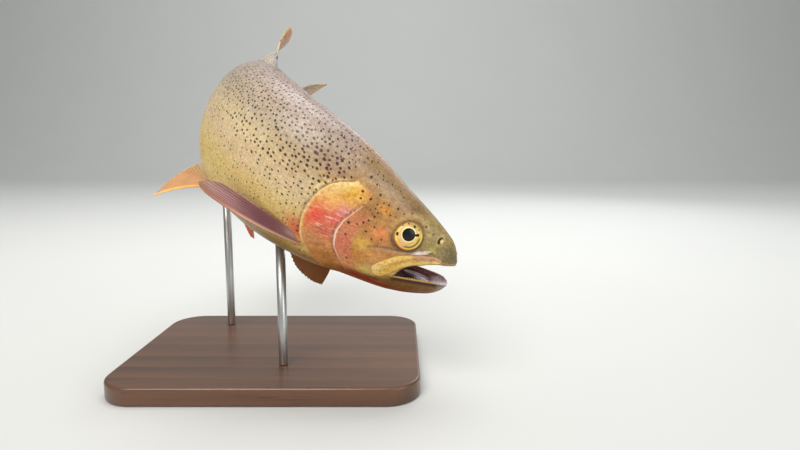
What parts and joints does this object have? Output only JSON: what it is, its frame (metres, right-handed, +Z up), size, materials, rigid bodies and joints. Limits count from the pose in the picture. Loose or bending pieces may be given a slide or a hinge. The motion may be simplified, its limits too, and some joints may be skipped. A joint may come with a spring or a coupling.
{
  "type": "rainbow trout",
  "caption": "Life-size still model of a swimming rainbow trout, body bent, mouth ajar, held on a flat wooden stand by short rods.",
  "frame": {"origin": "centre of the underside of the stand's base", "axes": "+Z up from the base; the fish's head points along +X and dives, its right side faces -Y and its tail runs back towards +Y"},
  "size_m": [0.2552, 0.3592, 0.271],
  "materials": {
    "flesh": "scaled skin, satin, dark spots",
    "head": "smooth head skin, satin",
    "gill": "gill cover, rosy and orange, satin",
    "jaw": "golden jaw skin, satin",
    "tongue": "moist tongue",
    "eye": "polished eye, gold iris and black pupil",
    "fin": "rayed fin, brown mauve",
    "fin_salmon": "rayed fin, salmon orange",
    "wood": "dark oiled wood",
    "steel": "brushed rod"
  },
  "bodies": {
    "root": {"head": "head", "lower_jaw": "jaw", "tongue": "tongue", "trunk_front": "flesh", "trunk_rear": "flesh", "tail_stem": "flesh", "eye_left": "eye", "eye_right": "eye", "gill_cover_left": "gill", "gill_cover_right": "gill", "maxilla_left": "jaw", "maxilla_right": "jaw", "dorsal_fin": "fin", "adipose_fin": "fin", "anal_fin": "fin_salmon", "caudal_fin": "fin", "pectoral_fin_left": "fin", "pectoral_fin_right": "fin", "pelvic_fin_left": "fin_salmon", "pelvic_fin_right": "fin_salmon", "stand_base": "wood", "stand_rod_front": "steel", "stand_rod_rear": "steel"}
  },
  "joints": []
}
